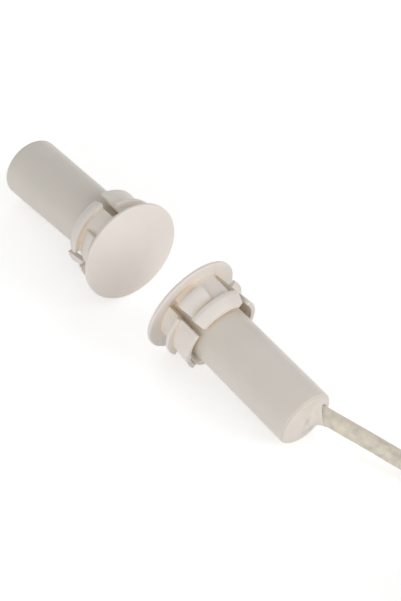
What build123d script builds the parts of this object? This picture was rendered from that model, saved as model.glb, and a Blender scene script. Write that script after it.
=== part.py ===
from build123d import *
import os
from math import acos, asin, atan2, cos, degrees, hypot, pi, radians, sin, tan

# Recessed magnetic contact: a magnet half and a switch half, each a potted capsule
# pushed into a flanged snap-in collar, both lying on their sides.
# Lengths in millimetres, +X from the magnet half to the switch half, +Z up.

# Collar
flange_radius = 12.5
flange_dome = 0.9
flange_edge = 0.9
flange_rounding = 0.3
skirt_radius = 9.0
leg_wall = 1.1
collar_floor = 1.3
seat_depth = 2.8
slot_width = 2.0
slot_overcut = 1.0
crest_rounding = 0.2

# Straight legs, each with a half-width rib near the flange and a barb near its free end
straight_length = 11.0
rib_radius = 10.4
rib_start = 2.9
rib_land = 1.2
rib_foot = 7.2
rib_foot_height = 0.1
barb_radius = 10.35
barb_start = 7.6
barb_land = 1.1
barb_tip_height = 0.3

# Spring legs, splayed outward, each with one full-width ridge
spring_length = 11.2
spring_tip_radius = 10.1
ridge_radius = 11.0
ridge_start = 4.7
ridge_width = 0.9

# Capsule tube
tube_radius_front = 7.05
tube_radius_tail = 7.3
tube_length = 38.7
tube_wall = 1.2
tube_floor = 1.2
tube_rounding = 0.4
tube_fit = 0.05

# Resin plugs
resin_depth = 7.0
resin_skin = 0.5
resin_edge_inset = 0.3
resin_crown = 0.5
resin_shoulder = 0.9
resin_lip_slope = 0.2
meniscus_root = 1.2
meniscus_height = 3.1
meniscus_width = 2.4
meniscus_foot = 0.4
meniscus_waist = 0.36
meniscus_film = 0.12
meniscus_slope = 42.0
meniscus_foot_slope = 0.25
meniscus_film_slope = 0.05

# Magnet half
magnet_diameter = 11.2
magnet_length = 20.0
magnet_chamfer = 0.4
spacer_fit = 0.1

# Reed switch and its board
board_width = 9.0
board_thickness = 1.0
board_drop = 1.1
board_front_gap = 0.3
board_into_resin = 2.0
reed_diameter = 2.4
reed_length = 14.0
reed_bore = 1.5
reed_seal = 1.6
reed_seat_gap = 0.2
reed_end_rounding = 0.84
lead_margin = 0.8
blade_width = 1.1
blade_thickness = 0.3
blade_overlap = 1.2
blade_gap = 0.12
lead_diameter = 0.6
lead_reach = 3.2
lead_bend = 0.9
lead_stub = 0.7
lead_hole_clearance = 0.1
solder_radius = 0.85
solder_height = 0.6
reed_solder_taper = 35.0
core_solder_taper = 25.0
track_width = 1.0
track_thickness = 0.1
track_fan_length = 1.5
track_spread = 1.25
core_landing_gap = 2.5
core_pitch = 1.9
core_stub = 1.2
core_level_run = 2.6
core_bend = 0.9

# Cable
cable_diameter = 4.0
cable_seat_clearance = 0.02
cable_offset_side = 3.5
cable_offset_up = 0.5
cable_seat_depth = 6.0
exit_heading = 20.4
exit_fall = 0.2
exit_run_length = 18.0
floor_run_x = 80.0
arc_share = 0.45
core_diameter = 1.2
core_circle = 0.87
core_names = ("white", "yellow", "green", "brown")
strand_diameter = 0.6
core_tail_length = 14.0
strand_tail_length = 5.0
end_core_gap = 0.4
end_core_fan = 0.06
end_core_droop = 0.035

# Hank of the cable's put-away length, and its tie
hank_left = 100.0
hank_side = 13.5
hank_rows = 5
hank_loop_radius = 12.0
hank_span = 56.0
hank_waist = 4.6
waist_margin = 1.5
eye_tip = 9.0
eye_tip_radius = 0.5
tie_width = 4.0
tie_thickness = 0.8
tie_rounding = 1.2
end_beyond_tie = 4.0

# Layout on the surface
flange_spacing = 20.4
magnet_turn = 3.8
switch_collar_turn = 1.0
magnet_collar_turn = 133.5

# Values worked out from the sizes above
tail_end = collar_floor + tube_length
bore_floor = collar_floor + tube_floor
plug_front = tail_end - resin_depth
cap_radius = tube_radius_tail - tube_rounding - resin_edge_inset
leg_bore_radius = skirt_radius - leg_wall
cable_radius = cable_diameter / 2
taper = (tube_radius_tail - tube_radius_front) / tube_length


def tube_radius(station):
    """Outer radius of the capsule at a distance behind the flange's rim."""
    return tube_radius_front + taper * (station - collar_floor)


def bore_radius(station):
    """Inner radius of the capsule at a distance behind the flange's rim."""
    along = (station - bore_floor) / (tail_end - bore_floor)
    return tube_radius_front - tube_wall + (tube_radius_tail - tube_radius_front) * along


# Each half rests on its flange's rim and on its tail, so its axis tilts down to the tail.
rim_centre = (flange_rounding, flange_radius - flange_rounding)
tail_centre = (tail_end - tube_rounding, tube_radius_tail - tube_rounding)
run = tail_centre[0] - rim_centre[0]
drop = tail_centre[1] - rim_centre[1]
tilt = asin((flange_rounding - tube_rounding) / hypot(run, drop)) - atan2(drop, run)
rim_height = rim_centre[0] * sin(tilt) + rim_centre[1] * cos(tilt) + flange_rounding

exit_station = tail_end + resin_skin + resin_crown
exit_dir = Vector(cos(radians(exit_heading)), sin(radians(exit_heading)), -exit_fall).normalized()
magnet_reach = tail_end * cos(tilt) + tube_radius_tail * sin(tilt)
switch_reach = exit_station * cos(tilt) + cable_offset_up * sin(tilt) + meniscus_height * exit_dir.X
switch_x = flange_spacing / 2 + (magnet_reach - switch_reach) / 2
magnet_x = switch_x - flange_spacing


def half_plane(x, turn):
    """Plane of a flange's rim, with its normal along the capsule and its X upward."""
    heading = radians(turn)
    along = Vector(cos(tilt) * cos(heading), cos(tilt) * sin(heading), -sin(tilt))
    upward = Vector(sin(tilt) * cos(heading), sin(tilt) * sin(heading), cos(tilt))
    return Plane(origin=(x, 0, rim_height), x_dir=upward, z_dir=along)


switch_half = half_plane(switch_x, 0)
magnet_half = half_plane(magnet_x, 180 - magnet_turn)


def profile_plane(half, angle=0):
    """Plane through a half's axis: its X is radial at the given angle, its Y along the axis."""
    radial = half.x_dir * cos(radians(angle)) + half.y_dir * sin(radians(angle))
    return Plane(origin=half.origin, x_dir=radial, z_dir=radial.cross(half.z_dir))


def axis_of(half):
    return Axis(half.origin, half.z_dir)


def spring_radius(station):
    """Outer radius of a splayed spring leg at a distance behind the flange's rim."""
    along = (station - flange_edge) / (spring_length - flange_edge)
    return skirt_radius + (spring_tip_radius - skirt_radius) * along


def collar(half, turn):
    """One-piece moulding: domed flange, tube seat, two straight legs and two spring legs."""
    seat_top = collar_floor + seat_depth
    seat_radius = tube_radius(seat_top) + tube_fit
    ridge_end = ridge_start + ridge_width
    slot_inner = tube_radius_front - tube_fit
    slot_outer = ridge_radius + slot_overcut
    with BuildPart() as body:
        with BuildSketch(profile_plane(half)) as disc:
            with BuildLine():
                crown = RadiusArc(
                    (0, -flange_dome),
                    (flange_radius, 0),
                    -(flange_radius**2 + flange_dome**2) / (2 * flange_dome),
                )
                Polyline(
                    crown @ 1,
                    (flange_radius, flange_edge),
                    (skirt_radius, flange_edge),
                    (skirt_radius, seat_top),
                    (seat_radius, seat_top),
                    (seat_radius, collar_floor),
                    (0, collar_floor),
                    crown @ 0,
                )
            make_face()
            fillet(disc.vertices().sort_by(Axis.X)[-2:], flange_rounding)
        revolve(axis=axis_of(half))
        for middle in (turn, turn + 180):
            with BuildSketch(profile_plane(half, middle - 45)) as straight_leg:
                with BuildLine():
                    Polyline(
                        (leg_bore_radius, flange_edge),
                        (skirt_radius, flange_edge),
                        (skirt_radius, barb_start),
                        (barb_radius, barb_start),
                        (barb_radius, barb_start + barb_land),
                        (skirt_radius + barb_tip_height, straight_length),
                        (leg_bore_radius, straight_length),
                        close=True,
                    )
                make_face()
                fillet(straight_leg.vertices().sort_by(Axis.X)[-2:], crest_rounding)
            revolve(axis=axis_of(half), revolution_arc=90)
            with BuildSketch(profile_plane(half, middle + 45)) as spring_leg:
                with BuildLine():
                    Polyline(
                        (leg_bore_radius, flange_edge),
                        (skirt_radius, flange_edge),
                        (spring_radius(ridge_start), ridge_start),
                        (ridge_radius, ridge_start),
                        (ridge_radius, ridge_end),
                        (spring_radius(ridge_end), ridge_end),
                        (spring_tip_radius, spring_length),
                        (spring_tip_radius - leg_wall, spring_length),
                        close=True,
                    )
                make_face()
                fillet(spring_leg.vertices().sort_by(Axis.X)[-2:], crest_rounding)
            revolve(axis=axis_of(half), revolution_arc=90)
        for rib_turn in (turn, turn + 135):
            with BuildSketch(profile_plane(half, rib_turn)):
                with BuildLine():
                    Polyline(
                        (leg_bore_radius + leg_wall / 2, rib_start),
                        (rib_radius, rib_start),
                        (rib_radius, rib_start + rib_land),
                        (skirt_radius + rib_foot_height, rib_foot),
                        (leg_bore_radius + leg_wall / 2, rib_foot),
                        close=True,
                    )
                make_face()
            revolve(axis=axis_of(half), revolution_arc=45)
        with BuildSketch(half.offset(flange_edge)):
            with PolarLocations((slot_inner + slot_outer) / 2, 4, start_angle=turn + 45):
                Rectangle(slot_outer - slot_inner, slot_width)
        extrude(amount=spring_length, mode=Mode.SUBTRACT)
    return body.part


def capsule_tube(half):
    """Moulded tube, closed at the flange and open at the tail, with a little draft."""
    with BuildPart() as body:
        with BuildSketch(profile_plane(half)) as section:
            with BuildLine():
                Polyline(
                    (0, collar_floor),
                    (tube_radius_front, collar_floor),
                    (tube_radius_tail, tail_end),
                    (tube_radius_tail - tube_wall, tail_end),
                    (tube_radius_front - tube_wall, bore_floor),
                    (0, bore_floor),
                    close=True,
                )
            make_face()
            corner = section.vertices().sort_by(Axis.X)[-1]
            fillet(corner, tube_rounding)
        revolve(axis=axis_of(half))
    return body.part


def plug_profile(front, skin):
    """Outline of a resin plug from its front face to the crown over the tube's rim."""
    Polyline(
        (0, tail_end + skin + resin_crown),
        (0, front),
        (bore_radius(front), front),
        (bore_radius(tail_end), tail_end),
        (cap_radius, tail_end),
    )
    Spline(
        (cap_radius, tail_end),
        (cap_radius * resin_shoulder, tail_end + skin),
        (0, tail_end + skin + resin_crown),
        tangents=[(-resin_lip_slope, 1), (-1, 0)],
    )


# Collars
switch_collar = collar(switch_half, switch_collar_turn)
magnet_collar = collar(magnet_half, magnet_collar_turn)

# Tubes
switch_tube = capsule_tube(switch_half)
magnet_tube = capsule_tube(magnet_half)

# Magnet, seated on the tube's closed end
magnet_end = bore_floor + magnet_length
with BuildPart() as magnet:
    with BuildSketch(magnet_half.offset(bore_floor)):
        Circle(magnet_diameter / 2)
    extrude(amount=magnet_length)
    chamfer(magnet.edges(), magnet_chamfer)

# Foam spacer that presses the magnet home while the resin is poured
with BuildPart() as magnet_spacer:
    with BuildSketch(magnet_half.offset(magnet_end)):
        Circle(magnet_diameter / 2 + spacer_fit)
    extrude(amount=plug_front - magnet_end)

with BuildPart() as magnet_resin:
    with BuildSketch(profile_plane(magnet_half)):
        with BuildLine():
            plug_profile(plug_front, resin_skin / 2)
        make_face()
    revolve(axis=axis_of(magnet_half))

# Reed board, lying below the reed, its tail end held in the resin
board_front = bore_floor + board_front_gap
board_length = plug_front + board_into_resin - board_front
board_middle = switch_half.offset(board_front)
reed_height = -board_drop + reed_seat_gap + reed_diameter / 2
reach_out = reed_length / 2 + lead_reach
reed_middle = board_front + lead_margin + reach_out
lead_stations = (reed_middle - reach_out, reed_middle + reach_out)
core_landing = lead_stations[1] + core_landing_gap
core_sides = [core_pitch * (k - 1.5) for k in range(4)]
with BuildPart() as reed_board:
    with BuildSketch(board_middle):
        with Locations((-board_drop - board_thickness / 2, 0)):
            Rectangle(board_thickness, board_width)
    extrude(amount=board_length)
    top = Plane(
        origin=switch_half.from_local_coords(Vector(-board_drop, 0, 0)),
        x_dir=switch_half.z_dir,
        z_dir=switch_half.x_dir,
    )
    with BuildSketch(top):
        with Locations(*[(station, 0) for station in lead_stations]):
            Circle(lead_diameter / 2 + lead_hole_clearance)
    extrude(amount=-board_thickness, mode=Mode.SUBTRACT)

# Copper tracks under the board: one from each reed lead, and the link of the tamper pair
under = top.offset(-board_thickness)
track_ends = ((lead_stations[0], core_sides[0]), (lead_stations[1], core_sides[1]))
with BuildPart() as board_tracks:
    with BuildSketch(under):
        for station, side in track_ends:
            with BuildLine():
                fan = Line((station, 0), (station + track_fan_length, side * track_spread))
                Line(fan @ 1, (core_landing, side * track_spread))
            trace(line_width=track_width)
        with Locations((core_landing, (core_sides[2] + core_sides[3]) / 2)):
            Rectangle(track_width, core_pitch + track_width)
        with Locations(*[(station, 0) for station in lead_stations]):
            Circle(lead_diameter / 2 + lead_hole_clearance, mode=Mode.SUBTRACT)
    extrude(amount=-track_thickness)

# Reed switch: a glass capsule with a nickel-iron blade sealed into each end
reed_axis = Plane(
    origin=switch_half.from_local_coords(Vector(reed_height, 0, reed_middle)),
    x_dir=switch_half.x_dir,
    z_dir=switch_half.z_dir,
)
with BuildPart() as reed_glass:
    with BuildSketch(reed_axis.offset(-reed_length / 2)):
        Circle(reed_diameter / 2)
    extrude(amount=reed_length)
    fillet(reed_glass.edges(), reed_end_rounding)
    with BuildSketch(reed_axis.offset(-reed_length / 2 + reed_seal)):
        Circle(reed_bore / 2)
    extrude(amount=reed_length - 2 * reed_seal, mode=Mode.SUBTRACT)
    with BuildSketch(reed_axis.offset(-reed_length / 2)):
        Circle(lead_diameter / 2)
    extrude(amount=reed_length, mode=Mode.SUBTRACT)


def reed_blade(side):
    """A round lead bent down into the board, and the flat blade that is its inner end."""
    outward = 1 if side == "tail" else -1
    flip = reed_axis if outward > 0 else Plane(reed_axis.origin, reed_axis.x_dir, -reed_axis.z_dir)
    along = flip.z_dir
    root = flip.origin + along * (reed_length / 2 - reed_seal)
    corner = flip.origin + along * reach_out
    foot = corner - switch_half.x_dir * (reed_height + board_drop + board_thickness + lead_stub)
    lift = outward * (blade_thickness + blade_gap) / 2
    with BuildPart() as blade:
        with BuildLine() as path:
            FilletPolyline(root, corner, foot, radius=lead_bend)
        with BuildSketch(Plane(origin=root, z_dir=along)):
            Circle(lead_diameter / 2)
        sweep(path=path.line)
        with BuildSketch(flip.offset(-blade_overlap / 2)):
            with Locations((lift, 0)):
                Rectangle(blade_thickness, blade_width)
        extrude(amount=reed_length / 2 - reed_seal + blade_overlap / 2)
    return blade.part


blade_front = reed_blade("front")
blade_tail = reed_blade("tail")

# Solder joints under the board, one round each reed lead
with BuildPart() as reed_solder:
    for station in lead_stations:
        with BuildSketch(under.offset(-track_thickness)):
            with Locations((station, 0)):
                Circle(solder_radius)
                Circle(lead_diameter / 2, mode=Mode.SUBTRACT)
        extrude(amount=-solder_height, taper=reed_solder_taper)

# Cable exit, off the capsule's middle, turned aside from its axis
exit_seat = Vector(cable_offset_up, -cable_offset_side, exit_station)
exit_point = switch_half.from_local_coords(exit_seat)
cable_start = exit_point - exit_dir * cable_seat_depth

# Four insulated cores from the jacket's end to the top of the board
jacket_end = Plane(origin=cable_start, x_dir=switch_half.x_dir, z_dir=exit_dir)
core_seats = ((1, -1), (-1, -1), (-1, 1), (1, 1))
core_height = -board_drop + core_diameter / 2
inner_cores = {}
for colour, side, (seat_up, seat_side) in zip(core_names, core_sides, core_seats):
    seat = Vector(core_circle * seat_up, core_circle * seat_side, 0)
    leave = jacket_end.from_local_coords(seat)
    land = switch_half.from_local_coords(Vector(core_height, side, core_landing))
    rise = switch_half.from_local_coords(Vector(core_height, side, core_landing + core_level_run))
    with BuildPart() as core:
        with BuildLine() as path:
            FilletPolyline(leave, leave - exit_dir * core_stub, rise, land, radius=core_bend)
        with BuildSketch(Plane(origin=leave, z_dir=-exit_dir)):
            Circle(core_diameter / 2)
        sweep(path=path.line)
    inner_cores[colour] = core.part

# Solder joints on top of the board at the ends of the cores
with BuildPart() as core_solder:
    for side in core_sides:
        with BuildSketch(top):
            with Locations((core_landing - solder_radius, side)):
                Circle(solder_radius)
        extrude(amount=core_diameter, taper=core_solder_taper)

# Resin plug of the switch half: it fills the mouth and climbs one side of the cable
meniscus_base = Plane(
    origin=exit_point - exit_dir * meniscus_root,
    x_dir=switch_half.x_dir,
    z_dir=exit_dir,
)
climb = meniscus_height + meniscus_root
foot_radius = cable_radius + meniscus_width
film_radius = cable_radius + meniscus_film
outward = (switch_half.x_dir - switch_half.y_dir).normalized()
edge_drop = cable_radius * tan(radians(meniscus_slope))
edge_normal = exit_dir * cos(radians(meniscus_slope)) + outward * sin(radians(meniscus_slope))
edge_plane = Plane(origin=exit_point + exit_dir * (meniscus_height - edge_drop), z_dir=edge_normal)
with BuildPart() as switch_resin:
    with BuildSketch(profile_plane(meniscus_base)):
        with BuildLine():
            Polyline((0, 0), (foot_radius, 0), (foot_radius, meniscus_foot))
            Spline(
                (foot_radius, meniscus_foot),
                (cable_radius + meniscus_width * meniscus_waist, climb * meniscus_waist),
                (film_radius, climb),
                tangents=[(-1, meniscus_foot_slope), (-meniscus_film_slope, 1)],
            )
            Polyline((film_radius, climb), (0, climb), (0, 0))
        make_face()
    revolve(axis=axis_of(meniscus_base))
    with BuildSketch(edge_plane):
        Circle(2 * foot_radius)
    extrude(amount=2 * climb, mode=Mode.SUBTRACT)
    with BuildSketch(profile_plane(switch_half)):
        with BuildLine():
            plug_profile(plug_front, resin_skin)
        make_face()
    revolve(axis=axis_of(switch_half))
    resin_top = exit_station + climb
    with BuildSketch(profile_plane(switch_half)):
        with BuildLine():
            Polyline(
                (0, plug_front),
                (bore_radius(plug_front), plug_front),
                (bore_radius(tail_end), tail_end),
                (cap_radius, tail_end),
                (cap_radius, resin_top),
                (0, resin_top),
                close=True,
            )
        make_face()
    revolve(axis=axis_of(switch_half), mode=Mode.INTERSECT)
    with BuildSketch(jacket_end):
        Circle(cable_radius + cable_seat_clearance)
    extrude(amount=cable_seat_depth + 2 * climb, mode=Mode.SUBTRACT)
    with BuildSketch(board_middle):
        with Locations((-board_drop - board_thickness / 2, 0)):
            Rectangle(board_thickness, board_width)
    extrude(amount=board_length, mode=Mode.SUBTRACT)
    for colour in core_names:
        add(inner_cores[colour], mode=Mode.SUBTRACT)

# Free cable: straight runs joined by arcs as large as the runs allow
exit_run = cable_start + exit_dir * exit_run_length
floor_run = Vector(floor_run_x, hank_side, cable_radius)
hank_entry = Vector(hank_left, hank_side, cable_radius)
route = [cable_start, exit_run, floor_run, hank_entry]
cable_radii = []
for before, corner, after in zip(route, route[1:], route[2:]):
    half_turn = radians((corner - before).get_angle(after - corner)) / 2
    shorter = min((corner - before).length, (after - corner).length)
    cable_radii.append(arc_share * shorter / tan(half_turn))
print("cable radii", [round(radius, 1) for radius in cable_radii])
with BuildPart() as cable:
    with BuildLine() as path:
        FilletPolyline(*route, radius=cable_radii)
    with BuildSketch(jacket_end):
        Circle(cable_radius)
    sweep(path=path.line)
cable_run = sum(edge.length for edge in path.line.edges())
section_area = pi * cable_radius**2
print("cable volume over section times length", cable.part.volume / (section_area * cable_run))

# Hank of the put-away cable: two end loops drawn together under a tie
loop_outer = hank_loop_radius + cable_radius
hank_centre_y = hank_side - hank_loop_radius
left_loop = hank_left + loop_outer
right_loop = left_loop + hank_span
hank_middle = (left_loop + right_loop) / 2
hank_height = hank_rows * cable_diameter
tail_notch = hank_middle - tie_width / 2 - end_beyond_tie
waist_run = tie_width + 2 * waist_margin
loops = ((left_loop, -1), (right_loop, 1))
with BuildPart() as cable_hank:
    for loop_x, facing in loops:
        with BuildSketch():
            with Locations((loop_x, hank_centre_y)):
                Circle(loop_outer)
            with Locations((hank_middle + facing * waist_run / 2, hank_centre_y)):
                Rectangle(waist_margin, 2 * hank_waist)
            make_hull()
        extrude(amount=hank_height)
    with BuildSketch():
        with Locations((hank_middle, hank_centre_y)):
            Rectangle(waist_run, 2 * hank_waist)
    extrude(amount=hank_height)
    with BuildSketch():
        with Locations((hank_middle, hank_centre_y)):
            Rectangle(tie_width, 2 * hank_waist)
    extrude(amount=tie_thickness, mode=Mode.SUBTRACT)
    with BuildSketch():
        with Locations((hank_left, hank_side)):
            Rectangle(loop_outer, cable_diameter, align=(Align.MIN, Align.CENTER))
    extrude(amount=cable_diameter)
    with BuildSketch(Plane.XY.offset(hank_height - cable_diameter)):
        with Locations((tail_notch, hank_centre_y)):
            Rectangle(hank_span, 2 * loop_outer, align=(Align.MAX, Align.MAX))
    extrude(amount=cable_diameter, mode=Mode.SUBTRACT)
    for loop_x, facing in loops:
        with BuildSketch():
            with Locations((loop_x, hank_centre_y)):
                Circle(hank_loop_radius - cable_radius)
            with Locations((hank_middle + facing * eye_tip, hank_centre_y)):
                Circle(eye_tip_radius)
            make_hull()
        extrude(amount=hank_height, mode=Mode.SUBTRACT)

# Tie round the hank's waist, its underside on the surface
with BuildPart() as hank_tie:
    with BuildSketch(Plane.YZ.offset(hank_middle - tie_width / 2)):
        with Locations((hank_centre_y, (hank_height + tie_thickness) / 2)):
            RectangleRounded(
                2 * (hank_waist + tie_thickness),
                hank_height + tie_thickness,
                tie_rounding,
            )
            Rectangle(2 * hank_waist, hank_height - tie_thickness, mode=Mode.SUBTRACT)
    extrude(amount=tie_width)

# Stripped far end: the four cores, each with its bare strands, lying on the hank
end_cores = {}
end_strands = {}
eye_run = (hank_span - waist_run) / 2
corner_angle = degrees(atan2(hank_waist, eye_run) + acos(loop_outer / hypot(eye_run, hank_waist)))
strand_angle = radians(90 - corner_angle)
strand_edge = hank_waist + (hank_middle - waist_run / 2 - tail_notch) * tan(strand_angle)
strand_y = hank_centre_y - strand_edge + cable_radius / cos(strand_angle)
end_centre = Vector(tail_notch - end_core_gap, strand_y, hank_height - cable_radius)
for k, colour in enumerate(core_names):
    aside = cos(radians(45 + 90 * k)) * core_circle
    raised = sin(radians(45 + 90 * k)) * core_circle
    start = end_centre + Vector(-aside * sin(strand_angle), aside * cos(strand_angle), raised)
    heading = strand_angle - end_core_fan * aside
    way = Vector(-cos(heading), -sin(heading), -end_core_droop).normalized()
    with BuildPart() as end_core:
        with BuildSketch(Plane(origin=start, z_dir=way)):
            Circle(core_diameter / 2)
        extrude(amount=core_tail_length)
    with BuildPart() as end_strand:
        with BuildSketch(Plane(origin=start + way * core_tail_length, z_dir=way)):
            Circle(strand_diameter / 2)
        extrude(amount=strand_tail_length)
    end_cores[colour] = end_core.part
    end_strands[colour] = end_strand.part

# Every piece under its own name
pieces = {
    "magnet_collar": magnet_collar,
    "magnet_tube": magnet_tube,
    "magnet": magnet.part,
    "magnet_spacer": magnet_spacer.part,
    "magnet_resin": magnet_resin.part,
    "switch_collar": switch_collar,
    "switch_tube": switch_tube,
    "switch_resin": switch_resin.part,
    "reed_glass": reed_glass.part,
    "reed_blade_front": blade_front,
    "reed_blade_tail": blade_tail,
    "reed_board": reed_board.part,
    "board_tracks": board_tracks.part,
    "reed_solder": reed_solder.part,
    "core_solder": core_solder.part,
    "cable": cable.part,
    "cable_hank": cable_hank.part,
    "hank_tie": hank_tie.part,
}
for colour in core_names:
    pieces[f"core_{colour}"] = inner_cores[colour]
    pieces[f"end_core_{colour}"] = end_cores[colour]
    pieces[f"end_strand_{colour}"] = end_strands[colour]

os.makedirs("parts", exist_ok=True)
for name, piece in pieces.items():
    piece.label = name
    export_step(piece, f"parts/{name}.step")
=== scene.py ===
import math

import bpy
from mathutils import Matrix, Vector


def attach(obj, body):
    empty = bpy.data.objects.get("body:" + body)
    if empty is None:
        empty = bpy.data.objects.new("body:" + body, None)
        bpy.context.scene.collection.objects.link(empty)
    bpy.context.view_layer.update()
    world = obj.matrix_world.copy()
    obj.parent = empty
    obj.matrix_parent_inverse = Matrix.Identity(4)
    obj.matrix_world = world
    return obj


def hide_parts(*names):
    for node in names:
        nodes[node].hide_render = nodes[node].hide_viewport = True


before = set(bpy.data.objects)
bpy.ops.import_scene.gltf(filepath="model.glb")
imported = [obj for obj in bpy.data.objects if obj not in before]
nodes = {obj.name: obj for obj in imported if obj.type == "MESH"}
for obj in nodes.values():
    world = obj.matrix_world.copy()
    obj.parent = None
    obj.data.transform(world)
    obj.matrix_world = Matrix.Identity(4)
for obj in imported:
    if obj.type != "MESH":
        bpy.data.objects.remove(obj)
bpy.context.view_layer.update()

# Camera
# A long lens looks down at the two halves, which lie end to end across the picture.
# The place and the lens were worked out from the outlines of both flanges and capsules.
view_azimuth = math.radians(49.04)
view_elevation = math.radians(48.94)
view_distance = 0.8793
view_target = Vector((0.001795, 0.00946, 0.0))
picture_height = 601
focal_pixels = 3800
forward = Vector((
    -math.sin(view_azimuth) * math.cos(view_elevation),
    math.cos(view_azimuth) * math.cos(view_elevation),
    -math.sin(view_elevation),
))
camera_data = bpy.data.cameras.new("camera")
camera = bpy.data.objects.new("camera", camera_data)
bpy.context.collection.objects.link(camera)
camera.location = view_target - forward * view_distance
camera.rotation_euler = forward.to_track_quat("-Z", "Y").to_euler()
camera_data.sensor_width = 36.0
camera_data.lens = focal_pixels * camera_data.sensor_width / picture_height
camera_data.clip_start = 0.01
bpy.context.scene.camera = camera
bpy.context.scene.view_settings.view_transform = "Standard"

# Cable
# A round jacketed lead with four twisted cores, 4 mm thick and about a metre long.
# It leaves the resin to one side, comes down to the surface and ends in a tied hank.
cable_diameter = 0.004
cable_route = [
    (0.04392, 0.00145, 0.00873),
    (0.06047, 0.00760, 0.00520),
    (0.08000, 0.01350, 0.00200),
    (0.10000, 0.01350, 0.00200),
]
hank_rows = 5
hank_y = 0.0015
left_loop_x = 0.114
right_loop_x = 0.170
hank_middle_x = (left_loop_x + right_loop_x) / 2
waist_half_run = 0.0045
waist_side = 0.0023
tie_thickness = 0.0008
waist_low = tie_thickness + cable_diameter / 2
waist_high = cable_diameter * (hank_rows - 0.5)
loop_pull = 0.01265
loop_angles = (112, 75, 37, 0, -37, -75, -112)
hank_entry = (left_loop_x + 0.003, hank_y + 0.0122)
last_pass_x = hank_middle_x - 0.002
hank_end = (0.1358, -0.0020, 0.018)


def loop_points(centre_x, facing, low, high):
    """Control points round one end loop, rising from low to high as it turns."""
    points = []
    for step, angle in enumerate(loop_angles):
        turn = math.radians(angle)
        rise = low + (high - low) * step / (len(loop_angles) - 1)
        x = centre_x + facing * loop_pull * math.cos(turn)
        points.append((x, hank_y + facing * loop_pull * math.sin(turn), rise))
    return points


# The rows run one above the other, and the tie presses them closer at a narrow waist.
route = list(cable_route)
for row in range(hank_rows):
    height = cable_diameter * (row + 0.5)
    pressed = waist_low + (waist_high - waist_low) * row / (hank_rows - 1)
    if row == 0:
        route.append((*hank_entry, height))
    route.append((hank_middle_x - waist_half_run, hank_y + waist_side, pressed))
    route.append((hank_middle_x + waist_half_run, hank_y + waist_side, pressed))
    route.extend(loop_points(right_loop_x, 1, height, height))
    route.append((hank_middle_x + waist_half_run, hank_y - waist_side, pressed))
    if row < hank_rows - 1:
        route.append((hank_middle_x - waist_half_run, hank_y - waist_side, pressed))
        route.extend(loop_points(left_loop_x, -1, height, height + cable_diameter))
    else:
        route.append((last_pass_x, hank_y - waist_side, pressed))
        route.append(hank_end)

cable_curve = bpy.data.curves.new("cable_lead", "CURVE")
cable_curve.dimensions = "3D"
cable_curve.bevel_depth = cable_diameter / 2
cable_curve.bevel_resolution = 7
cable_curve.resolution_u = 10
cable_curve.use_fill_caps = True
spline = cable_curve.splines.new("NURBS")
spline.points.add(len(route) - 1)
for point, place in zip(spline.points, route):
    point.co = (*place, 1.0)
spline.order_u = 3
spline.use_endpoint_u = True
cable_lead = bpy.data.objects.new("cable_lead", cable_curve)
bpy.context.collection.objects.link(cable_lead)


def start_material(name):
    """A new node material with its Principled shader and its Object coordinates."""
    material = bpy.data.materials.new(name)
    material.use_nodes = True
    tree = material.node_tree
    shader = tree.nodes["Principled BSDF"]
    place = tree.nodes.new("ShaderNodeTexCoord")
    return material, tree, shader, place.outputs["Object"]


def noise_of(tree, place, scale, detail=3.0, roughness=0.5):
    """A noise texture on the piece's own coordinates, in waves per metre."""
    noise = tree.nodes.new("ShaderNodeTexNoise")
    noise.inputs["Scale"].default_value = scale
    noise.inputs["Detail"].default_value = detail
    noise.inputs["Roughness"].default_value = roughness
    tree.links.new(place, noise.inputs["Vector"])
    return noise.outputs["Fac"]


def ramp_of(tree, factor, stops):
    """A colour ramp with its stops given as (position, colour)."""
    ramp = tree.nodes.new("ShaderNodeValToRGB")
    elements = ramp.color_ramp.elements
    while len(elements) < len(stops):
        elements.new(0.5)
    for element, (position, colour) in zip(elements, stops):
        element.position = position
        element.color = (*colour, 1.0)
    tree.links.new(factor, ramp.inputs["Fac"])
    return ramp.outputs["Color"]


def bump_of(tree, shader, factor, height, strength=1.0):
    """Relief on a shader's normal, its height in metres."""
    bump = tree.nodes.new("ShaderNodeBump")
    bump.inputs["Strength"].default_value = strength
    bump.inputs["Distance"].default_value = height
    tree.links.new(factor, bump.inputs["Height"])
    tree.links.new(bump.outputs["Normal"], shader.inputs["Normal"])


def tint(tree, shader, factor, stops):
    """A colour ramp as a shader's own colour."""
    tree.links.new(ramp_of(tree, factor, stops), shader.inputs["Base Color"])


jacket_stops = [
    (0.32, (0.520, 0.480, 0.405)),
    (0.48, (0.620, 0.570, 0.480)),
    (0.62, (0.700, 0.620, 0.515)),
    (0.75, (0.610, 0.575, 0.510)),
]
jacket, tree, shader, place = start_material("cable_jacket_milky")
mottle = noise_of(tree, place, 480.0, 3.0, 0.55)
tint(tree, shader, mottle, jacket_stops)
shader.inputs["Roughness"].default_value = 0.42
shader.inputs["Subsurface Weight"].default_value = 0.15
shader.inputs["Subsurface Radius"].default_value = (0.0012, 0.0009, 0.0006)
bump_of(tree, shader, noise_of(tree, place, 900.0), 0.00008, 0.6)
cable_lead.data.materials.append(jacket)
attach(cable_lead, "root")
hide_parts("cable", "cable_hank")
core_names = ("white", "yellow", "green", "brown")

# Collars
# Each collar is one moulding in warm off-white plastic: a thin domed flange and four legs.
# The legs are split by slots, and their snap ribs hold the contact in its drilled hole.
collar_light = (0.750, 0.700, 0.650)
collar_deep = (0.715, 0.663, 0.612)
# The slot colour is painted light: a warm glow painted into slots and gaps, standing in
# for light that comes through the plastic.
collar_painted_glow = (0.800, 0.670, 0.500)
glow_reach = 0.0025
edge_break = 0.00012


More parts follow.
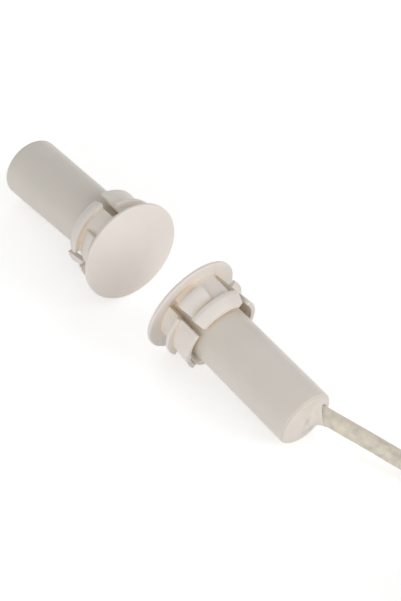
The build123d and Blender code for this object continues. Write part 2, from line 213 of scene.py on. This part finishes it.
def painted_glow_of(tree, colour, warm, reach):
    """A colour with a painted glow: warmer in slots and gaps narrower than the reach,
    where light through the plastic is painted in as colour.
    """
    gap = tree.nodes.new("ShaderNodeAmbientOcclusion")
    gap.samples = 8
    gap.inputs["Distance"].default_value = reach
    mix = tree.nodes.new("ShaderNodeMix")
    mix.data_type = "RGBA"
    open_share = ramp_of(tree, gap.outputs["AO"], [(0.25, (0, 0, 0)), (0.80, (1, 1, 1))])
    tree.links.new(open_share, mix.inputs["Factor"])
    # Sockets 6 and 7, and output 2, are the Mix node's colour ones.
    painted_glow_socket, open_colour = mix.inputs[6], mix.inputs[7]
    painted_glow_socket.default_value = (*warm, 1.0)
    tree.links.new(colour, open_colour)
    return mix.outputs[2]


collar_plastic, tree, shader, place = start_material("collar_moulded_plastic")
tone = noise_of(tree, place, 70.0, 2.0)
collar_tone = ramp_of(tree, tone, [(0.35, collar_deep), (0.65, collar_light)])
# Painted light: the collar's slots and gaps get a warm painted glow from the occlusion
# mask.
collar_colour = painted_glow_of(tree, collar_tone, collar_painted_glow, glow_reach)
tree.links.new(collar_colour, shader.inputs["Base Color"])
shader.inputs["Roughness"].default_value = 0.42
shader.inputs["Subsurface Weight"].default_value = 0.22
shader.inputs["Subsurface Radius"].default_value = (0.0022, 0.0017, 0.0012)
bump_of(tree, shader, noise_of(tree, place, 3500.0, 2.0), 0.00002, 0.5)


def merged_copy(node_name, name):
    """A copy of a CAD node's mesh under its own name, its faces joined up."""
    bpy.ops.object.select_all(action="DESELECT")
    piece = nodes[node_name].copy()
    piece.data = nodes[node_name].data.copy()
    piece.name = name
    bpy.context.collection.objects.link(piece)
    piece.select_set(True)
    bpy.context.view_layer.objects.active = piece
    piece.data.materials.clear()
    bpy.ops.object.mode_set(mode="EDIT")
    bpy.ops.mesh.select_all(action="SELECT")
    bpy.ops.mesh.remove_doubles(threshold=0.000002)
    bpy.ops.object.mode_set(mode="OBJECT")
    return piece


# Every edge is broken a little, as the mould leaves it.
for half_name in ("magnet", "switch"):
    collar = merged_copy(f"{half_name}_collar", f"{half_name}_collar_moulding")
    bpy.ops.object.mode_set(mode="EDIT")
    bpy.ops.mesh.select_all(action="SELECT")
    bpy.ops.mesh.dissolve_limited(angle_limit=math.radians(1.0))
    bpy.ops.object.mode_set(mode="OBJECT")
    broken = collar.modifiers.new("edges", "BEVEL")
    broken.width = edge_break
    broken.segments = 2
    broken.limit_method = "ANGLE"
    broken.angle_limit = math.radians(40.0)
    bpy.ops.object.modifier_apply(modifier="edges")
    bpy.ops.object.shade_smooth_by_angle(angle=math.radians(30.0))
    collar.data.materials.append(collar_plastic)
    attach(collar, "root")
    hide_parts(f"{half_name}_collar")

# Tubes
# The capsules are moulded tubes of much the same plastic with a fine satin skin. They are
# closed at the flange end, and widen a little to their open, softly rounded tail.
tube_light = (0.655, 0.612, 0.555)
tube_deep = (0.617, 0.573, 0.517)
# The gap colour is painted light: a warm glow painted into the tube's narrow gaps.
tube_painted_glow = (0.740, 0.630, 0.480)
tube_plastic, tree, shader, place = start_material("tube_moulded_plastic")
tone = noise_of(tree, place, 50.0, 2.0)
tube_tone = ramp_of(tree, tone, [(0.35, tube_deep), (0.65, tube_light)])
# Painted light: the tube's gaps get a warm painted glow from the occlusion mask.
tube_colour = painted_glow_of(tree, tube_tone, tube_painted_glow, glow_reach)
tree.links.new(tube_colour, shader.inputs["Base Color"])
shader.inputs["Roughness"].default_value = 0.40
shader.inputs["Subsurface Weight"].default_value = 0.15
shader.inputs["Subsurface Radius"].default_value = (0.0018, 0.0012, 0.0008)
bump_of(tree, shader, noise_of(tree, place, 4200.0, 2.0), 0.000015, 0.5)
# Each half lies on its flange and its tail. A place is the X of its rim and its heading.
tilt = math.radians(7.536)
rim_height = 0.012434
half_places = {"switch": (0.008726, 0.0), "magnet": (-0.011674, math.radians(176.2))}
tube_front = 0.0013
tube_tail = 0.0400
tube_radius_front = 0.00705
tube_radius_tail = 0.00730
tube_wall = 0.0012
tube_rounding = 0.0004
pole_radius = 0.0005
turned_facets = 192
length_rings = 12
rounding_steps = 5


def turned(name, profile, x, heading):
    """Mesh turned about a half's axis from a list of (station behind the rim, radius)."""
    bpy.ops.object.select_all(action="DESELECT")
    first_station, first_radius = profile[0]
    bpy.ops.mesh.primitive_circle_add(
        vertices=turned_facets, radius=first_radius, location=(0.0, 0.0, first_station)
    )
    piece = bpy.context.object
    piece.name = name
    bpy.ops.object.transform_apply(location=True, rotation=True, scale=True)
    bpy.ops.object.mode_set(mode="EDIT")
    bpy.ops.mesh.select_all(action="SELECT")
    for before, after in zip(profile, profile[1:]):
        bpy.ops.mesh.extrude_region_move(
            TRANSFORM_OT_translate={"value": (0.0, 0.0, after[0] - before[0])}
        )
        grow = after[1] / before[1]
        bpy.ops.transform.resize(
            value=(grow, grow, 1.0), center_override=(0.0, 0.0, after[0])
        )
    bpy.ops.mesh.select_all(action="SELECT")
    bpy.ops.mesh.remove_doubles(threshold=0.000001)
    bpy.ops.mesh.fill_holes(sides=0)
    bpy.ops.mesh.select_all(action="SELECT")
    bpy.ops.mesh.normals_make_consistent(inside=False)
    bpy.ops.object.mode_set(mode="OBJECT")
    piece.rotation_euler = (0.0, math.pi / 2 + tilt, heading)
    piece.location = (x, 0.0, rim_height)
    bpy.ops.object.transform_apply(location=True, rotation=True, scale=True)
    bpy.ops.object.shade_smooth_by_angle(angle=math.radians(35.0))
    return piece


tube_profile = [(tube_front, pole_radius)]
for ring in range(length_rings):
    along = ring / length_rings
    tube_profile.append((
        tube_front + (tube_tail - tube_rounding - tube_front) * along,
        tube_radius_front + (tube_radius_tail - tube_radius_front) * along,
    ))
for step in range(rounding_steps + 1):
    turn = math.pi / 2 * step / rounding_steps
    tube_profile.append((
        tube_tail - tube_rounding * (1 - math.sin(turn)),
        tube_radius_tail - tube_rounding * (1 - math.cos(turn)),
    ))
tube_profile.append((tube_tail, tube_radius_tail - tube_wall))
tube_profile.append((tube_front + tube_wall, tube_radius_front - tube_wall))
tube_profile.append((tube_front + tube_wall, pole_radius))
for half_name, (half_x, heading) in half_places.items():
    tube = turned(f"{half_name}_capsule", tube_profile, half_x, heading)
    tube.data.materials.append(tube_plastic)
    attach(tube, "root")
    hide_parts(f"{half_name}_tube")

# Resin
# Cream potting resin fills each tube's open end. It is poured, so its face is smooth and
# slightly crowned, and on the switch half it climbs the cable in a small meniscus.
resin_light = (0.675, 0.615, 0.560)
resin_deep = (0.645, 0.585, 0.530)
resin, tree, shader, place = start_material("potting_resin")
tone = noise_of(tree, place, 160.0, 3.0)
tint(tree, shader, tone, [(0.35, resin_deep), (0.65, resin_light)])
shader.inputs["Roughness"].default_value = 0.30
shader.inputs["Subsurface Weight"].default_value = 0.20
shader.inputs["Subsurface Radius"].default_value = (0.0025, 0.0015, 0.0009)
bump_of(tree, shader, noise_of(tree, place, 350.0, 2.0), 0.00012, 0.5)


def dress(node_name, material):
    """Put one material on all of a CAD node's slots."""
    mesh = nodes[node_name].data
    if not mesh.materials:
        mesh.materials.append(material)
    for index in range(len(mesh.materials)):
        mesh.materials[index] = material


dress("magnet_resin", resin)
# On the switch half the resin wets the tube's rim, so a brim is joined to it and both are
# melted into one smooth skin.
resin_cell = 0.00016
resin_flow = merged_copy("switch_resin", "switch_resin_flow")
brim_profile = [
    (0.03985, 0.00600),
    (0.03985, 0.00705),
    (0.04000, 0.00718),
    (0.04016, 0.00712),
    (0.04034, 0.00680),
    (0.04046, 0.00630),
    (0.04052, 0.00560),
    (0.03985, 0.00560),
    (0.03985, 0.00600),
]
brim = turned("resin_brim", brim_profile, *half_places["switch"])
bpy.ops.object.select_all(action="DESELECT")
brim.select_set(True)
resin_flow.select_set(True)
bpy.context.view_layer.objects.active = resin_flow
bpy.ops.object.join()
flow = resin_flow.modifiers.new("flow", "REMESH")
flow.mode = "VOXEL"
flow.voxel_size = resin_cell
flow.use_smooth_shade = True
bpy.ops.object.modifier_apply(modifier="flow")
ease = resin_flow.modifiers.new("ease", "SMOOTH")
ease.factor = 0.5
ease.iterations = 40
bpy.ops.object.modifier_apply(modifier="ease")
resin_flow.data.materials.append(resin)
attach(resin_flow, "root")
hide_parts("switch_resin")

# Magnet and its foam
# The magnet is a nickel-plated sintered rod, held against the tube's closed end by a
# plug of closed-cell foam. Neither shows from outside.
plating, tree, shader, place = start_material("nickel_plating")
tone = noise_of(tree, place, 600.0, 3.0)
tint(tree, shader, tone, [(0.3, (0.50, 0.50, 0.52)), (0.7, (0.62, 0.62, 0.64))])
shader.inputs["Metallic"].default_value = 1.0
shader.inputs["Roughness"].default_value = 0.28
bump_of(tree, shader, noise_of(tree, place, 2500.0), 0.00001, 0.5)
dress("magnet", plating)
foam, tree, shader, place = start_material("closed_cell_foam")
cells = tree.nodes.new("ShaderNodeTexVoronoi")
cells.inputs["Scale"].default_value = 2200.0
tree.links.new(place, cells.inputs["Vector"])
cell_walls = cells.outputs["Distance"]
tint(tree, shader, cell_walls, [(0.1, (0.42, 0.42, 0.40)), (0.6, (0.62, 0.62, 0.60))])
shader.inputs["Roughness"].default_value = 0.95
bump_of(tree, shader, cell_walls, 0.0002)
dress("magnet_spacer", foam)

# Reed switch and its board
# A glass reed with two nickel-iron blades sits on a small laminate board, under which
# copper tracks join its leads to two of the cable's cores. Tin solder holds each joint.
glass, tree, shader, place = start_material("reed_glass_clear")
tone = noise_of(tree, place, 900.0)
tint(tree, shader, tone, [(0.3, (0.80, 0.92, 0.84)), (0.7, (0.86, 0.96, 0.90))])
shader.inputs["Transmission Weight"].default_value = 0.9
shader.inputs["Roughness"].default_value = 0.04
shader.inputs["IOR"].default_value = 1.5
dress("reed_glass", glass)
blade_metal, tree, shader, place = start_material("nickel_iron")
tone = noise_of(tree, place, 1500.0)
tint(tree, shader, tone, [(0.3, (0.44, 0.43, 0.41)), (0.7, (0.58, 0.57, 0.54))])
shader.inputs["Metallic"].default_value = 1.0
shader.inputs["Roughness"].default_value = 0.35
for blade_name in ("reed_blade_front", "reed_blade_tail"):
    dress(blade_name, blade_metal)
laminate, tree, shader, place = start_material("glass_fibre_laminate")
weave = tree.nodes.new("ShaderNodeTexWave")
weave.inputs["Scale"].default_value = 700.0
weave.inputs["Distortion"].default_value = 1.5
tree.links.new(place, weave.inputs["Vector"])
threads = weave.outputs["Fac"]
tint(tree, shader, threads, [(0.2, (0.34, 0.29, 0.13)), (0.8, (0.42, 0.36, 0.17))])
shader.inputs["Roughness"].default_value = 0.5
bump_of(tree, shader, threads, 0.00002)
dress("reed_board", laminate)
copper, tree, shader, place = start_material("etched_copper")
tone = noise_of(tree, place, 1200.0)
tint(tree, shader, tone, [(0.3, (0.52, 0.22, 0.10)), (0.7, (0.70, 0.33, 0.16))])
shader.inputs["Metallic"].default_value = 1.0
shader.inputs["Roughness"].default_value = 0.4
dress("board_tracks", copper)
solder, tree, shader, place = start_material("tin_solder")
tone = noise_of(tree, place, 1800.0)
tint(tree, shader, tone, [(0.3, (0.46, 0.46, 0.47)), (0.7, (0.62, 0.62, 0.63))])
shader.inputs["Metallic"].default_value = 1.0
shader.inputs["Roughness"].default_value = 0.3
bump_of(tree, shader, noise_of(tree, place, 1500.0), 0.00004)
for joint_name in ("reed_solder", "core_solder"):
    dress(joint_name, solder)

# Cores
# Four insulated cores run from the board into the cable, and show again where its far end
# is stripped, each with a few millimetres of tinned strands.
core_colours = {
    "white": ((0.72, 0.72, 0.70), (0.80, 0.80, 0.78)),
    "yellow": ((0.66, 0.50, 0.04), (0.76, 0.58, 0.06)),
    "green": ((0.03, 0.20, 0.06), (0.05, 0.27, 0.09)),
    "brown": ((0.11, 0.045, 0.02), (0.15, 0.065, 0.03)),
}
tinned, tree, shader, place = start_material("tinned_strands")
strand_wave = tree.nodes.new("ShaderNodeTexWave")
strand_wave.inputs["Scale"].default_value = 1400.0
strand_wave.bands_direction = "DIAGONAL"
tree.links.new(place, strand_wave.inputs["Vector"])
twist = strand_wave.outputs["Fac"]
tint(tree, shader, twist, [(0.2, (0.40, 0.38, 0.35)), (0.8, (0.66, 0.65, 0.63))])
shader.inputs["Metallic"].default_value = 1.0
shader.inputs["Roughness"].default_value = 0.35
bump_of(tree, shader, twist, 0.00006)
for core_name in core_names:
    deep, light = core_colours[core_name]
    insulation, tree, shader, place = start_material(f"insulation_{core_name}")
    tint(tree, shader, noise_of(tree, place, 500.0), [(0.3, deep), (0.7, light)])
    shader.inputs["Roughness"].default_value = 0.45
    bump_of(tree, shader, noise_of(tree, place, 1500.0), 0.00003, 0.6)
    dress(f"core_{core_name}", insulation)
    dress(f"end_core_{core_name}", insulation)
    dress(f"end_strand_{core_name}", tinned)

# Tie
# A moulded nylon band draws the hank together at its middle.
# Its outside carries the fine cross ribs that such bands have.
nylon, tree, shader, place = start_material("nylon_band")
cross = tree.nodes.new("ShaderNodeTexWave")
cross.bands_direction = "Z"
cross.inputs["Scale"].default_value = 350.0
tree.links.new(place, cross.inputs["Vector"])
ribs = cross.outputs["Fac"]
tint(tree, shader, ribs, [(0.2, (0.62, 0.62, 0.60)), (0.8, (0.70, 0.70, 0.68))])
shader.inputs["Roughness"].default_value = 0.35
shader.inputs["Subsurface Weight"].default_value = 0.1
shader.inputs["Subsurface Radius"].default_value = (0.001, 0.001, 0.001)
bump_of(tree, shader, ribs, 0.0001)
dress("hank_tie", nylon)

# Floor
# A plain pale surface that both halves lie on. The camera sees it a little lifted, so that
# it reads as white and still keeps their shadow.
floor_side = 6.0
floor_colour = (0.86, 0.86, 0.86, 1.0)
floor_lift = 0.40
bpy.ops.object.select_all(action="DESELECT")
bpy.ops.mesh.primitive_plane_add(size=floor_side, location=(0.0, 0.0, 0.0))
floor = bpy.context.object
floor.name = "floor"
floor_material = bpy.data.materials.new("pale_floor")
floor_material.use_nodes = True
tree = floor_material.node_tree
shader = tree.nodes["Principled BSDF"]
shader.inputs["Base Color"].default_value = floor_colour
shader.inputs["Roughness"].default_value = 0.9
shader.inputs["Specular IOR Level"].default_value = 0.0
ray = tree.nodes.new("ShaderNodeLightPath")
seen = tree.nodes.new("ShaderNodeMath")
seen.operation = "ADD"
seen.use_clamp = True
tree.links.new(ray.outputs["Is Camera Ray"], seen.inputs[0])
tree.links.new(ray.outputs["Is Glossy Ray"], seen.inputs[1])
lift = tree.nodes.new("ShaderNodeMath")
lift.operation = "MULTIPLY"
lift.inputs[1].default_value = floor_lift
tree.links.new(seen.outputs["Value"], lift.inputs[0])
shader.inputs["Emission Color"].default_value = (1.0, 1.0, 1.0, 1.0)
tree.links.new(lift.outputs["Value"], shader.inputs["Emission Strength"])
floor.data.materials.append(floor_material)

# Light
# An even white surround and three broad soft lamps that stand low round the object, as in
# a light tent, at a level where a colour looks as it is written.
surround_strength = 0.53
world = bpy.data.worlds.new("surround")
bpy.context.scene.world = world
world.use_nodes = True
background = world.node_tree.nodes["Background"]
background.inputs["Color"].default_value = (1.0, 1.0, 1.0, 1.0)
background.inputs["Strength"].default_value = surround_strength


def soft_lamp(name, place, size, power):
    """A square area lamp at a place, turned towards the middle of the object."""
    data = bpy.data.lights.new(name, "AREA")
    data.shape = "SQUARE"
    data.size = size
    data.energy = power
    lamp = bpy.data.objects.new(name, data)
    bpy.context.collection.objects.link(lamp)
    lamp.location = place
    lamp.rotation_euler = (-Vector(place)).to_track_quat("-Z", "Y").to_euler()


soft_lamp("right_lamp", (0.74, 0.45, 0.36), size=0.6, power=3.9)
soft_lamp("front_lamp", (0.36, -0.79, 0.36), size=0.6, power=3.4)
soft_lamp("back_lamp", (-0.50, 0.60, 0.50), size=0.5, power=0.5)
